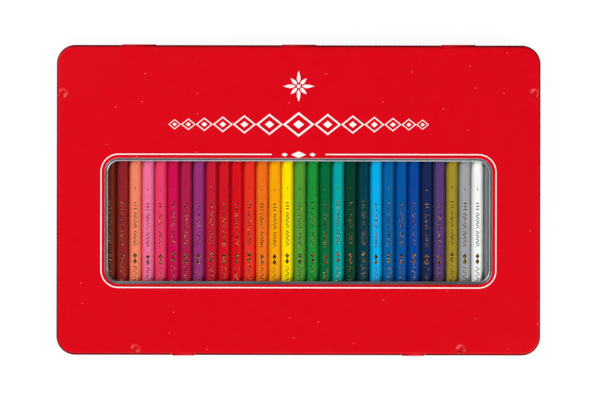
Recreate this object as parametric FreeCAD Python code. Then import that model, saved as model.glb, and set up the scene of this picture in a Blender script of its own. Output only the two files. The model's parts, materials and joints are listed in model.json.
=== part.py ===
import FreeCAD, Part
import math
import os

os.makedirs("parts", exist_ok=True)

# Flat hinged tin of coloured pencils, with a window in its lid. Millimetres, +Z up.
# The origin is under the middle of the tin, X runs along the row and the hinge is at the back, +Y.

# Pencils: hexagonal, a flat side up, points to the back
pencil_length = 175.0
pencil_flats = 6.6
pencil_spacing = 0.035
core_diameter = 3.3
glue_line = 0.02
tip_diameter = 0.8
point_angle = 24.0
round_sides = 12

# The row from left to right, in families whose cores share a node
families = {
    "browns": ["umber", "walnut", "tan", "chestnut", "oxide_red"],
    "pinks": ["salmon", "pink", "rose", "magenta", "crimson", "purple"],
    "reds": ["carmine", "ruby", "red", "scarlet"],
    "yellows": ["orange", "amber", "yellow"],
    "greens": ["leaf_green", "green", "dark_green", "turquoise", "pine_green"],
    "blues": ["petrol", "sky_blue", "mid_blue", "deep_blue", "royal_blue", "navy", "violet"],
    "greys": ["old_gold", "silver", "white", "grey", "slate", "black"],
}

# Tray: formed plastic sheet with a groove for each pencil
tray_sheet = 0.5
tray_left_shoulder = 1.6
tray_right_shoulder = 7.4
tray_end_shoulder = 1.4
tray_edge_bevel = 0.8
shoulder_rise = 4.6
groove_height = 4.75
groove_play = 0.15
ridge_rise = 1.5
row_end_play = 0.2
pencil_end_play = 1.0
scoop_radius = 11.0
scoop_depth = 3.0
scoop_wall = 1.6
tray_play = 0.35

# Tinplate
sheet = 0.3
bead_sides = 8

# Base tin
rim_radius = 0.8
panel_rise = 0.8
panel_corner = 2.4
panel_bend = 0.6
panel_slope_angle = 45.0
foot_bend_clear = 0.3

# Lid
lid_play = 0.35
lid_corner = 10.0
lid_edge_round = 1.2
bead_radius = 0.8
stop_gap = 0.1
dent_depth = 0.8
dent_diameter = 6.4
dent_floor_diameter = 3.2
dent_inset = 2.9
side_dent_from_back = 28.0
front_dent_from_side = 47.0

# Window in the lid and its pane
window_side_margin = 28.3
window_back_margin = 67.25
window_front_margin = 41.75
window_corner = 8.3
window_edge_bend = 0.5
window_drop = 0.3
window_ledge_bend = 0.4
window_ledge = 0.9
window_bead_radius = 0.8
pane_sheet = 0.3
pane_margin = 3.0
pane_gap = 0.05
pencil_headroom = 0.5

# Hinge tongues of the base, wrapped round the lid's back bead
tongue_width = 22.0
tongue_pitch = 96.6
tongue_taper = 0.8
tongue_fold = 0.45
tongue_wrap_angle = 220.0
hinge_play = 0.08
lance_gap = 0.2
slot_play = 0.4

# Lift lips at the front of the lid
lip_width = 14.4
lip_pitch = 139.2
lip_taper = 0.9
lip_drop = 0.1
lip_fold = 0.5
lip_gap = 0.4

overrun = 1.0

Vec = FreeCAD.Vector
origin = Vec(0, 0, 0)
up = Vec(0, 0, 1)
root3 = math.sqrt(3)

# Row, tray, base and lid, from the inside out
row = [colour for family in families.values() for colour in family]
pencil_corners = 2 * pencil_flats / root3
pitch = pencil_corners + pencil_spacing
pocket_length = len(row) * pitch - pencil_spacing + 2 * row_end_play
pocket_depth = pencil_length + 2 * pencil_end_play
tray_length = tray_left_shoulder + pocket_length + tray_right_shoulder
tray_depth = pocket_depth + 2 * tray_end_shoulder
tray_inset = 2 * rim_radius + tray_play
base_length = tray_length + 2 * tray_inset
base_depth = tray_depth + 2 * tray_inset
lid_inset = sheet + lid_play
lid_length = base_length + 2 * lid_inset
lid_depth = base_depth + 2 * lid_inset
base_corner = lid_corner - lid_inset
pocket_left = tray_left_shoulder - tray_length / 2
pocket_right = pocket_left + pocket_length
first_pencil = pocket_left + row_end_play + pencil_corners / 2
window_length = lid_length - 2 * window_side_margin
window_depth = lid_depth - window_back_margin - window_front_margin
window_y = (window_front_margin - window_back_margin) / 2

# Heights, from the foot up
shoulder_height = groove_height + shoulder_rise
pencil_axis = groove_height + pencil_flats / 2
pane_height = groove_height + pencil_flats + pencil_headroom
window_low = pane_height + pane_sheet + pane_gap
window_fall = window_edge_bend + window_drop + window_ledge_bend
tin_height = window_low + 2 * window_bead_radius + window_fall
rim_height = tin_height - dent_depth - sheet - stop_gap
hinge_height = tin_height / 2

# Hinge line at the back and the reach of tongues and lips
hinge_y = lid_depth / 2 - sheet + bead_radius
tongue_radius = bead_radius + hinge_play + sheet / 2
reach = hinge_y + tongue_radius + sheet / 2
wall_middle = base_depth / 2 - sheet / 2
skirt_middle = lid_depth / 2 - sheet / 2


def left(angle):
    """Direction to the left of a heading in the XZ plane."""
    return Vec(-math.sin(angle), 0, math.cos(angle))


def walk(start, heading, moves, side, smooth):
    """Edges of a line in the XZ plane that keeps beside the middle line of bent tinplate.

    A move is ("run", length) or ("bend", radius, angle); a positive angle bends to the left.
    A bend is one flat, or an arc where it is smooth.
    """
    place = Vec(start[0], 0, start[1])
    angle = math.radians(heading)
    edges = []
    for kind, size, *turn in moves:
        begin = place + left(angle) * side
        if kind == "run":
            place = place + Vec(math.cos(angle), 0, math.sin(angle)) * size
            edges.append(Part.makeLine(begin, place + left(angle) * side))
            continue
        arm = math.copysign(size, turn[0])
        centre = place + left(angle) * arm
        halfway = centre + left(angle + math.radians(turn[0]) / 2) * (side - arm)
        angle = angle + math.radians(turn[0])
        place = centre - left(angle) * arm
        end = place + left(angle) * side
        edges.append(Part.Arc(begin, halfway, end).toShape() if smooth else Part.makeLine(begin, end))
    return edges


def face(edges):
    """Face inside edges that join up."""
    return Part.Face(Part.Wire(Part.__sortEdges__(edges)))


def sheet_profile(start, heading, moves, bead=0, smooth=False):
    """Faces of a section of bent tinplate in the XZ plane, from a walk along its middle line.

    With a bead radius, the far edge is rolled up to the left.
    """
    sides = [walk(start, heading, moves, side, smooth) for side in (sheet / 2, -sheet / 2)]
    first = [edges[0].firstVertex(True).Point for edges in sides]
    last = [edges[-1].lastVertex(True).Point for edges in sides]
    profile = [face(sides[0] + sides[1] + [Part.makeLine(*first), Part.makeLine(*last)])]
    if bead:
        middle = last[1] + (last[0] - last[1]).normalize() * bead
        corners = [middle + left(2 * math.pi * n / bead_sides) * bead for n in range(bead_sides + 1)]
        profile.append(Part.Face(Part.makePolygon(corners)))
    return profile


def ring(profile, length, depth, corner):
    """A profile, drawn by its distance from a corner's axis, carried round a rounded rectangle."""
    pieces = []
    for section in profile:
        for quarter in range(4):
            across, along = (length, depth) if quarter % 2 == 0 else (depth, length)
            place = Vec(across / 2 - corner, along / 2 - corner, 0)
            bend = section.revolve(origin, up, 90).translated(place)
            place.y = -place.y
            side = section.extrude(Vec(0, along - 2 * corner, 0)).translated(place)
            for piece in (bend, side):
                piece.rotate(origin, up, 90 * quarter)
                pieces.append(piece)
    return pieces[0].multiFuse(pieces[1:]).removeSplitter()


def block(length, depth, corner, low, high, top_bevel=0):
    """A rounded rectangle about the origin, between two heights."""
    solid = Part.makeBox(length, depth, high - low, Vec(-length / 2, -depth / 2, low))
    middle = (low + high) / 2
    upright = [e for e in solid.Edges if len({v.Z > middle for v in e.Vertexes}) == 2]
    solid = solid.makeFillet(corner, upright)
    if top_bevel:
        solid = solid.makeChamfer(top_bevel, [e for e in solid.Edges if e.BoundBox.ZMin > middle])
    return solid


def box(x_range, y_range, z_range):
    """A plain box between pairs of coordinates."""
    low = Vec(x_range[0], y_range[0], z_range[0])
    return Part.makeBox(x_range[1] - low.x, y_range[1] - low.y, z_range[1] - low.z, low)


def tab(profile, width, taper, straight, side, place):
    """A bent tab with tapered corners on the back (side 1) or front (side -1) of the tin.

    The profile is drawn by its distance from the middle of the tin.
    """
    run = profile[0].extrude(Vec(0, width, 0))
    run.translate(Vec(0, -width / 2, 0))
    half = width / 2
    beyond = 2 * reach - straight
    plan = [(0, half), (straight, half), (beyond, half - 2 * taper)]
    plan += [(y, -x) for y, x in reversed(plan)] + plan[:1]
    trim = Part.Face(Part.makePolygon([Vec(y, x, 0) for y, x in plan]))
    solid = run.common(trim.extrude(Vec(0, 0, tin_height)))
    solid.rotate(origin, up, 90 * side)
    solid.translate(Vec(place, 0, 0))
    return solid


def flats(sides, across, y):
    """Corners of a regular polygon about the Y axis, with a flat on top."""
    corner = across / 2 / math.cos(math.pi / sides)
    angles = [math.pi * (2 * number + 1) / sides for number in range(sides)]
    return [Vec(corner * math.sin(angle), y, corner * math.cos(angle)) for angle in angles]


def flats_bar(sides, across):
    """Bar with flat sides, as long as a pencil, along the Y axis."""
    corners = flats(sides, across, -pencil_length / 2)
    return Part.Face(Part.makePolygon(corners + corners[:1])).extrude(Vec(0, pencil_length, 0))


def tapered_round(stages):
    """Round solid in flats along the Y axis, from the distance across its flats at each y."""
    loops = [flats(round_sides, across, y) for across, y in stages]
    faces = [Part.Face(Part.makePolygon(loop + loop[:1])) for loop in (loops[0], loops[-1])]
    for low, high in zip(loops, loops[1:]):
        for n in range(round_sides):
            ahead = (n + 1) % round_sides
            corners = [low[n], low[ahead], high[ahead], high[n], low[n]]
            faces.append(Part.Face(Part.makePolygon(corners)))
    return Part.Solid(Part.Shell(faces))


def pencil():
    """Wood case and core of one pencil about the Y axis."""
    half = pencil_length / 2
    point = (pencil_corners - tip_diameter) / 2 / math.tan(math.radians(point_angle / 2))
    stages = [(pencil_corners, -half), (pencil_corners, half - point), (tip_diameter, half)]
    envelope = tapered_round(stages)
    case = flats_bar(6, pencil_flats).common(envelope)
    case = case.cut(flats_bar(round_sides, core_diameter))
    core = flats_bar(round_sides, core_diameter - 2 * glue_line).common(envelope)
    return case.removeSplitter(), core.removeSplitter()


def pocket(grow):
    """Space over the tray's grooves and finger scoop, or its outside when grown by the sheet."""
    floor = groove_height - grow
    flat = pencil_flats / root3 / 2 + groove_play
    slope = ridge_rise / root3
    top = shoulder_height + overrun
    line = [(pocket_left - grow, top), (pocket_left - grow, floor)]
    for number in range(len(row) - 1):
        x = first_pencil + number * pitch
        line += [(x + flat, floor), (x + flat + slope, floor + ridge_rise)]
        line += [(x + pitch - flat - slope, floor + ridge_rise), (x + pitch - flat, floor)]
    line += [(pocket_right + grow, floor), (pocket_right + grow, top), line[0]]
    front = -pocket_depth / 2 - grow
    section = Part.Face(Part.makePolygon([Vec(x, front, z) for x, z in line]))
    grooves = section.extrude(Vec(0, pocket_depth + 2 * grow, 0))
    inner = pocket_right - row_end_play
    outer = tray_length / 2 - scoop_wall + grow
    middle = Vec(inner, 0, shoulder_height + scoop_radius - scoop_depth)
    scoop = Part.makeCylinder(scoop_radius + grow, outer - inner, middle, Vec(1, 0, 0))
    headroom = box((inner, outer), (-lid_depth, lid_depth), (0, top))
    return grooves.fuse(scoop.common(headroom))


def make_tray():
    """Thin shell: a rounded block less its pocket, hollowed from below."""
    floor = sheet
    corner = base_corner - tray_inset
    outside = block(tray_length, tray_depth, corner, floor, shoulder_height, tray_edge_bevel)
    inside = block(
        tray_length - 2 * tray_sheet,
        tray_depth - 2 * tray_sheet,
        corner - tray_sheet,
        floor - overrun,
        shoulder_height - tray_sheet,
        tray_edge_bevel,
    )
    return outside.cut(pocket(0)).cut(inside.cut(pocket(tray_sheet)))


def make_base():
    """Drawn pan with a raised bottom panel, a rolled rim and the hinge tongues."""
    foot_bend = tray_inset - sheet / 2 - foot_bend_clear
    slope = math.radians(panel_slope_angle)
    fall = 2 * panel_bend * (1 - math.cos(slope))
    slope_run = (panel_rise - fall) / math.sin(slope)
    step_width = 2 * panel_bend * math.sin(slope) + slope_run * math.cos(slope)
    foot_run = base_corner - sheet / 2 - foot_bend - step_width - panel_corner
    wall = rim_height - rim_radius - foot_bend - sheet / 2
    moves = [
        ("bend", panel_bend, -panel_slope_angle),
        ("run", slope_run),
        ("bend", panel_bend, panel_slope_angle),
        ("run", foot_run),
        ("bend", foot_bend, 45),
        ("bend", foot_bend, 45),
        ("run", wall),
    ]
    profile = sheet_profile((panel_corner, panel_rise + sheet / 2), 0, moves, rim_radius)
    base = ring(profile, base_length, base_depth, base_corner)
    border = 2 * (base_corner - panel_corner)
    panel = block(
        base_length - border, base_depth - border, panel_corner, panel_rise, panel_rise + sheet
    )
    base = base.fuse(panel)

    root = hinge_height - tongue_radius - tongue_fold
    straight = hinge_y - wall_middle - tongue_fold
    moves = [
        ("bend", tongue_fold, -90),
        ("run", straight),
        ("bend", tongue_radius, tongue_wrap_angle),
    ]
    profile = sheet_profile((wall_middle, root), 90, moves, smooth=True)
    unrolled = straight + math.radians(90 * tongue_fold + tongue_wrap_angle * tongue_radius)
    half = tongue_width / 2 + lance_gap
    for place in (-tongue_pitch, 0, tongue_pitch):
        hole = box(
            (place - half, place + half),
            (base_depth / 2 - sheet - overrun, base_depth / 2 + overrun),
            (root, root + unrolled),
        )
        base = base.cut(hole)
        base = base.fuse(tab(profile, tongue_width, tongue_taper, hinge_y, 1, place))
    return base.removeSplitter()


def dent_punch(x, y, grow):
    """Tapered punch of a stop dent at a place on the lid, or its underside when grown by the sheet."""
    depth = dent_depth + grow
    low = dent_floor_diameter + 2 * grow
    high = low + (dent_diameter - dent_floor_diameter) * (depth + overrun) / dent_depth
    punch = tapered_round([(low, -depth), (high, overrun)])
    punch.rotate(origin, Vec(1, 0, 0), 90)
    punch.translate(Vec(x, y, tin_height))
    return punch


def make_lid():
    """Drawn cover with a rolled lower edge, a rolled window rim, stop dents and lift lips."""
    skirt = tin_height - lid_edge_round - hinge_height
    edge_start = (lid_corner - lid_edge_round, tin_height - sheet / 2)
    edge_moves = [("bend", lid_edge_round - sheet / 2, -45)] * 2 + [("run", skirt)]
    profile = sheet_profile(edge_start, 0, edge_moves, bead_radius)
    edge = ring(profile, lid_length, lid_depth, lid_corner)

    bend_width = window_edge_bend + sheet / 2
    moves = [
        ("bend", window_edge_bend, 90),
        ("run", window_drop),
        ("bend", window_ledge_bend, -90),
        ("run", window_ledge),
    ]
    start = (window_corner + bend_width, tin_height - sheet / 2)
    rim_profile = sheet_profile(start, 180, moves, window_bead_radius)
    rim = ring(rim_profile, window_length, window_depth, window_corner)
    rim.translate(Vec(0, window_y, 0))

    top = block(
        lid_length - 2 * lid_edge_round,
        lid_depth - 2 * lid_edge_round,
        lid_corner - lid_edge_round,
        tin_height - sheet,
        tin_height,
    )
    hole = block(
        window_length + 2 * bend_width,
        window_depth + 2 * bend_width,
        window_corner + bend_width,
        tin_height - sheet - overrun,
        tin_height + overrun,
    )
    hole.translate(Vec(0, window_y, 0))
    lid = edge.multiFuse([top.cut(hole), rim])

    outside = walk(edge_start, 0, edge_moves, sheet / 2, False)
    corners = [outside[-1].lastVertex(True).Point, Vec(0, 0, hinge_height), Vec(0, 0, tin_height)]
    corners.append(outside[0].firstVertex(True).Point)
    band = outside + [Part.makeLine(*pair) for pair in zip(corners, corners[1:])]
    filled = ring([face(band)], lid_length, lid_depth, lid_corner)
    side_x = lid_length / 2 - dent_inset
    side_y = lid_depth / 2 - side_dent_from_back
    front_x = lid_length / 2 - front_dent_from_side
    front_y = dent_inset - lid_depth / 2
    for x, y in ((side_x, side_y), (-side_x, side_y), (front_x, front_y), (-front_x, front_y)):
        press = dent_punch(x, y, 0)
        under = dent_punch(x, y, sheet).common(filled)
        lid = lid.cut(press).fuse(under.cut(press))

    skirt_outside = lid_depth / 2
    half = tongue_width / 2 + slot_play
    slot_top = hinge_height + tongue_radius + sheet / 2 + slot_play
    for place in (-tongue_pitch, 0, tongue_pitch):
        slot = box(
            (place - half, place + half),
            (skirt_outside - sheet - overrun, skirt_outside),
            (hinge_height, slot_top),
        )
        start = Vec(place - half, hinge_y, hinge_height)
        pin = Part.makeCylinder(bead_radius, 2 * half, start, Vec(1, 0, 0))
        lid = lid.cut(slot).fuse(pin)

    flange = reach - skirt_middle - lip_fold
    moves = [("run", lip_drop), ("bend", lip_fold, 90), ("run", flange)]
    profile = sheet_profile((skirt_middle, hinge_height), -90, moves)
    half = lip_width / 2 + lip_gap
    bead_out = -skirt_outside - 2 * bead_radius - overrun
    for place in (-lip_pitch / 2, lip_pitch / 2):
        width = (place - half, place + half)
        below = (hinge_height - bead_radius - overrun, hinge_height)
        above = (hinge_height, hinge_height + bead_radius + overrun)
        lid = lid.cut(box(width, (bead_out, overrun - skirt_outside), below))
        lid = lid.cut(box(width, (bead_out, -skirt_outside), above))
        lid = lid.fuse(tab(profile, lip_width, lip_taper, skirt_outside, -1, place))
    return lid.removeSplitter()


def make_pane():
    """Clear sheet fixed under the window's rolled rim."""
    pane = block(
        window_length + 2 * pane_margin,
        window_depth + 2 * pane_margin,
        window_corner + pane_margin,
        pane_height,
        pane_height + pane_sheet,
    )
    return pane.translated(Vec(0, window_y, 0))


nodes = {
    "base_tin": make_base(),
    "lid": make_lid(),
    "window_pane": make_pane(),
    "pencil_tray": make_tray(),
}
barrel, core = pencil()
number = 0
for family, colours in families.items():
    cores = []
    for colour in colours:
        place = Vec(first_pencil + number * pitch, 0, pencil_axis)
        nodes["pencil_" + colour] = barrel.translated(place)
        cores.append(core.translated(place))
        number += 1
    nodes["cores_" + family] = Part.makeCompound(cores)

for name, shape in nodes.items():
    if not shape.isValid() or any(solid.Volume <= 0 for solid in shape.Solids):
        raise ValueError("bad shape: " + name)
    shape.exportStep("parts/" + name + ".step")
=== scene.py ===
import json
import math
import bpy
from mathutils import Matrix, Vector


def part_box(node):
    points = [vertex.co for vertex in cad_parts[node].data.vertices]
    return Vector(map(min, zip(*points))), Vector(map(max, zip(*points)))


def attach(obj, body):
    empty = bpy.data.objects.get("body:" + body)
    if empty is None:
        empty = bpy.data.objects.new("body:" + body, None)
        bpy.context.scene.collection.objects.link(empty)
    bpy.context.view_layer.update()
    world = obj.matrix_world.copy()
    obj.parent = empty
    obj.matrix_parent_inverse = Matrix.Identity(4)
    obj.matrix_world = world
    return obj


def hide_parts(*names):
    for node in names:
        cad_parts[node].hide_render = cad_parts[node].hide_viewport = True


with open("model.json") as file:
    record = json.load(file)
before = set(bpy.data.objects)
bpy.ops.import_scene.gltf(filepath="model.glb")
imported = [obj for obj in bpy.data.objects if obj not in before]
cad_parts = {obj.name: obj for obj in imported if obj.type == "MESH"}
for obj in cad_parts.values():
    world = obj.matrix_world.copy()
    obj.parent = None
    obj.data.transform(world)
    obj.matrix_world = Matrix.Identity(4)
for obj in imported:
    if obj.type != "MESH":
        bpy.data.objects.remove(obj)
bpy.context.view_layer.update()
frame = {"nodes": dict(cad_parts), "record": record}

from types import SimpleNamespace

import bmesh
import bpy
from mathutils import Color, Matrix, Vector
from mathutils.geometry import delaunay_2d_cdt

bl_info = {
    "name": "Coloured Pencil Box",
    "version": (1, 0, 0),
    "blender": (4, 5, 0),
    "location": "View3D > Sidebar > Pencil Box",
    "description": "Builds a hinged tin of coloured pencils round its packed frame",
    "category": "Add Mesh",
}

RECORD_COLOURS = {m["slot"]: m["base_color"] for m in frame["record"]["materials"]}
PENCIL_NODES = sorted(
    (n for n in frame["nodes"] if n.startswith("pencil_") and n != "pencil_tray"),
    key=lambda n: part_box(n)[0].x,
)
CORE_NODES = sorted((n for n in frame["nodes"] if n.startswith("cores_")), key=lambda n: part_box(n)[0].x)
MM = 0.001


# Properties


def length(label, description, millimetres):
    """A length that a user may change, given in millimetres and kept in metres."""
    return bpy.props.FloatProperty(
        name=label, description=description, default=millimetres * MM, min=0, precision=5, unit="LENGTH"
    )


def tint(label, description, red, green, blue):
    """A colour that a user may change, given as display values from 0 to 255."""
    linear = Color((red / 255, green / 255, blue / 255)).from_srgb_to_scene_linear()
    return bpy.props.FloatVectorProperty(
        name=label, description=description, default=tuple(linear), min=0, max=1, size=3, subtype="COLOR"
    )


class TinSizes(bpy.types.PropertyGroup):
    """Sizes of the pressed tin."""

    sheet: length("Tinplate", "Thickness of the tinplate", 0.3)
    curl: length("Curl", "Radius of the rolled edges", 0.8)
    lid_corner: length("Lid corner", "Radius of the lid's corners seen from above", 10.0)
    lid_round: length("Lid edge", "Radius between the lid's top and its skirt", 1.2)
    base_gap: length("Lid gap", "From the base wall's outside to the lid skirt's outside", 0.65)
    window_side: length("Window side margin", "From the lid's sides to the window", 28.3)
    window_back: length("Window back margin", "From the lid's back to the window", 67.25)
    window_front: length("Window front margin", "From the lid's front to the window", 41.75)
    window_corner: length("Window corner", "Radius of the window's corners", 8.3)
    window_bend: length("Window edge", "Radius of the bend down into the window", 0.5)
    window_drop: length("Window drop", "Upright part of the window's edge", 0.3)
    ledge_bend: length("Ledge bend", "Radius of the bend out to the ledge", 0.4)
    ledge: length("Ledge", "Width of the ledge before its curl", 0.9)
    dent_depth: length("Dent depth", "Depth of the stop dents", 0.8)
    dent_width: length("Dent width", "Width of the stop dents", 6.4)
    dent_floor: length("Dent floor", "Width of the flat middle of a dent", 2.4)
    dent_inset: length("Dent inset", "From the lid's side to a dent's middle", 2.9)
    side_dent: length("Side dents", "From the lid's back to the dents at its sides", 28.0)
    front_dent: length("Front dents", "From the lid's sides to the dents at its front", 47.0)
    tongue_width: length("Tongue width", "Width of the hinge tongues", 22.0)
    tongue_pitch: length("Tongue pitch", "Distance between the hinge tongues", 96.6)
    tongue_taper: length("Tongue taper", "How much a tongue narrows at each side", 0.8)
    tongue_fold: length("Tongue fold", "Radius of the fold at a tongue's root", 0.45)
    hinge_play: length("Hinge play", "Gap between a tongue and the curl in it", 0.08)
    lance_gap: length("Lance gap", "Gap at the sides of a tongue's hole", 0.2)
    slot_play: length("Slot play", "Gap round a tongue in the lid's slot", 0.4)
    lip_width: length("Lip width", "Width of the lift lips", 14.4)
    lip_pitch: length("Lip pitch", "Distance between the lift lips", 139.2)
    lip_taper: length("Lip taper", "How much a lip narrows at each side", 0.9)
    lip_drop: length("Lip drop", "Straight part over a lip's fold", 0.1)
    lip_fold: length("Lip fold", "Radius of a lip's fold", 0.5)
    lip_gap: length("Lip gap", "Gap between a lip and the curl beside it", 0.15)
    panel_rise: length("Panel rise", "Height of the bottom panel over the foot", 0.8)
    panel_corner: length("Panel corner", "Radius of the bottom panel's corners", 2.4)
    panel_bend: length("Panel bend", "Radius of the bends round the bottom panel", 0.6)
    foot_bend: length("Foot bend", "Radius of the bend from foot to wall", 1.5)


class PencilSizes(bpy.types.PropertyGroup):
    """Sizes of the pencils and of the foil marks on them."""

    corner_round: length("Corner round", "Radius of the six long edges", 0.5)
    end_bevel: length("End bevel", "Bevel round the cut end", 0.15)
    core: length("Core", "Diameter of the coloured core", 3.26)
    hole: length("Core hole", "Diameter of the hole for the core", 3.3)
    tip: length("Tip", "Diameter of the blunt tip", 0.8)
    point_angle: bpy.props.FloatProperty(
        name="Point angle",
        description="Angle of the sharpened cone",
        default=math.radians(24),
        subtype="ANGLE",
    )
    foil_film: length("Foil", "How far the foil marks stand on the lacquer", 0.02)
    foil_width: length("Foil width", "Width of the foil marks across a pencil", 1.9)
    foil_shift: length("Foil shift", "How far the marks of one pencil may lie from their place", 0.8)
    foil_stroke: length("Foil stroke", "Width of one foil stroke", 0.5)


class PrintSizes(bpy.types.PropertyGroup):
    """Sizes of the white print on the lid."""

    film: length("Film", "Thickness of the print", 0.02)
    stripe_width: length("Stripe width", "Width of the line round the window", 0.68)
    stripe_out: length("Stripe offset", "From the window's edge to the line", 1.81)
    stripe_shift: length("Stripe shift", "How far the line lies behind the window's middle", 0.15)
    stripe_gap: length("Stripe gap", "Opening in the line behind the window", 32.5)
    frieze_length: length("Frieze length", "Length of the row of lozenges", 157.0)
    frieze_height: length("Frieze height", "Height of the middle lozenge", 15.0)
    frieze_y: length("Frieze place", "From the middle of the tin to the row of lozenges", 45.6)
    rosette_size: length("Rosette", "Width of the rosette", 19.0)
    rosette_y: length("Rosette place", "From the middle of the tin to the rosette", 68.6)


class Finishes(bpy.types.PropertyGroup):
    """Colours of the materials."""

    lid_red: tint("Tin red", "Lacquer outside the tin", 216, 2, 22)
    bare_tin: tint("Bare tin", "Tinplate without lacquer", 182, 190, 196)
    # The bare tin's grain and gloss in a darker colour, on the inside faces of the lid
    inside_tin: tint("Inside tin", "Dull tinplate on the inside of the lid", 128, 133, 138)
    # Painted shade: the lid's red lacquer darkened to stand for the shade that falls on the rolled edge
    curl_painted_shade_red: tint("Lid curl", "Thin lacquer on the lid's rolled edge", 116, 10, 10)
    print_white: tint("Print white", "Print on the lid", 246, 244, 242)
    foil_gold: tint("Foil gold", "Foil marks on the pencils", 206, 158, 96)
    tray_grey: tint("Tray grey", "Formed plastic of the tray", 52, 54, 58)
    wood: tint("Wood", "Sharpened wood", 206, 160, 112)
    clear: tint("Clear sheet", "Pane of the window", 96, 104, 106)
    floor_grey: tint("Floor", "Floor as the tin reflects it", 120, 120, 120)


def sizes():
    """The tin's sizes that follow from its properties and from the frame, as one plain object."""
    tin = bpy.context.scene.tin_sizes
    lid_low, lid_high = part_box("lid")
    base_low, base_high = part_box("base_tin")
    found = SimpleNamespace()
    curl_out = 2 * tin.curl - tin.sheet
    found.top = lid_high.z - bpy.context.scene.print_sizes.film
    found.lid_length = lid_high.x - lid_low.x - 2 * curl_out
    found.lid_depth = 2 * (lid_high.y - curl_out)
    found.base_length = base_high.x - base_low.x
    found.base_depth = found.lid_depth - 2 * tin.base_gap
    found.rim_height = base_high.z
    found.hinge_y = found.lid_depth / 2 - tin.sheet + tin.curl
    found.hinge_z = lid_high.z / 2
    found.reach = base_high.y
    found.tongue_radius = tin.curl + tin.hinge_play + tin.sheet / 2
    found.tongues = [-tin.tongue_pitch, 0.0, tin.tongue_pitch]
    found.lips = [-tin.lip_pitch / 2, tin.lip_pitch / 2]
    found.window_length = found.lid_length - 2 * tin.window_side
    found.window_depth = found.lid_depth - tin.window_back - tin.window_front
    found.window_y = (tin.window_front - tin.window_back) / 2
    side_x = found.lid_length / 2 - tin.dent_inset
    side_y = found.lid_depth / 2 - tin.side_dent
    front_x = found.lid_length / 2 - tin.front_dent
    front_y = tin.dent_inset - found.lid_depth / 2
    found.dents = [(side_x, side_y), (-side_x, side_y), (front_x, front_y), (-front_x, front_y)]
    return found


# Mesh tools

ARC_STEPS = 14
BEND_STEP = math.radians(12)
SIDES = ("right", "back", "left", "front")


def neighbours(count):
    """Numbers of the things in a closed loop, each with the number of the next."""
    return [(n, (n + 1) % count) for n in range(count)]


def unit(angle):
    """One step in a direction."""
    return Vector((math.cos(angle), math.sin(angle)))


def circle(radius, count, turn=0.0):
    """Points round a circle, turned by a share of a step."""
    return [unit(2 * math.pi * (n + turn) / count) * radius for n in range(count)]


def lozenge(x, y, wide, tall):
    """Corners of a lozenge round a point."""
    return [(x + wide / 2, y), (x, y + tall / 2), (x - wide / 2, y), (x, y - tall / 2)]


def both_sides(places, half):
    """Places a half width before and after each of some places."""
    return [x + hand * half for x in places for hand in (-1, 1)]


class Outline:
    """A rounded rectangle that a section is carried round, with extra stops on its straight sides."""

    def __init__(self, along, across, corner, middle=(0.0, 0.0), stops=None):
        self.halves = (along / 2, across / 2)
        self.corner = corner
        self.middle = Vector(middle)
        self.stops = stops or {}

    def at(self, out):
        """Points round the outline, moved out from it by a distance."""
        points = []
        for quarter, side in enumerate(SIDES):
            half_x, half_y = self.halves if quarter % 2 == 0 else self.halves[::-1]
            sign = 1 if side in ("right", "front") else -1
            stops = sorted(sign * stop for stop in self.stops.get(side, ()))
            local = [Vector((half_x + out, stop)) for stop in stops]
            centre = Vector((half_x - self.corner, half_y - self.corner))
            for step in range(ARC_STEPS + 1):
                local.append(centre + unit(math.pi / 2 * step / ARC_STEPS) * (self.corner + out))
            turn = Matrix.Rotation(math.pi / 2 * quarter, 2)
            points += [turn @ point + self.middle for point in local]
        return points


def bent_sheet(start, heading, moves, thickness, curl=0.0):
    """Left side, curl and right side of a bent sheet's section, as lists of (out, height).

    A move is ("run", length) or ("bend", radius, angle), where a positive angle bends to the left.
    The curl rolls the far edge up to the left, and its points go back from the left side to the right.
    """
    place, angle = Vector(start), math.radians(heading)
    left_side, right_side = [], []

    def to_left(distance):
        return unit(angle + math.pi / 2) * distance

    def put():
        left_side.append(place + to_left(thickness / 2))
        right_side.append(place - to_left(thickness / 2))

    put()
    for kind, size, *turn in moves:
        if kind == "run":
            place = place + unit(angle) * size
            put()
            continue
        total = math.radians(turn[0])
        steps = max(2, math.ceil(abs(total) / BEND_STEP))
        arm = math.copysign(size, total)
        centre = place + to_left(arm)
        for _ in range(steps):
            angle += total / steps
            place = centre - to_left(arm)
            put()
    rolled = []
    if curl:
        begin = right_side.pop()
        left_side.pop()
        centre = begin + to_left(curl)
        sweep = 2 * math.pi - math.acos((curl - thickness) / curl)
        steps = math.ceil(sweep / (2 * BEND_STEP))
        for step in range(steps, -1, -1):
            rolled.append(centre + Matrix.Rotation(sweep * step / steps, 2) @ (begin - centre))
    return left_side, rolled, right_side[::-1]


def carried(mesh, outline, section):
    """Rows of vertices: each point of a section carried round an outline."""
    return [[mesh.verts.new((p.x, p.y, high)) for p in outline.at(out)] for out, high in section]


def fill(mesh, loop, finish, smooth=False):
    """One face inside a loop of vertices."""
    face = mesh.faces.new(loop)
    face.material_index = finish
    face.smooth = smooth


def skin(mesh, rows, finishes, leave=None, flat=None):
    """Faces between rows of vertices, with a material for each strip.

    leave(strip, column) tells which faces are left out, and flat(strip, column) which aren't smooth.
    """
    for strip, (near, far) in enumerate(zip(rows, rows[1:])):
        for column, ahead in neighbours(len(near)):
            if leave and leave(strip, column):
                continue
            corners = (near[column], far[column], far[ahead], near[ahead])
            fill(mesh, corners, finishes[strip], not (flat and flat(strip, column)))


def columns_between(row, side, place, half):
    """Columns of a row whose next edge lies at the back (side 1) or front (side -1), near a place."""
    slack = 0.001 * MM
    edge = max(side * v.co.y for v in row) - slack
    found = []
    for column, ahead in neighbours(len(row)):
        a, b = row[column].co, row[ahead].co
        if min(side * a.y, side * b.y) >= edge and abs((a.x + b.x) / 2 - place) < half:
            found.append(column)
    return found


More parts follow.
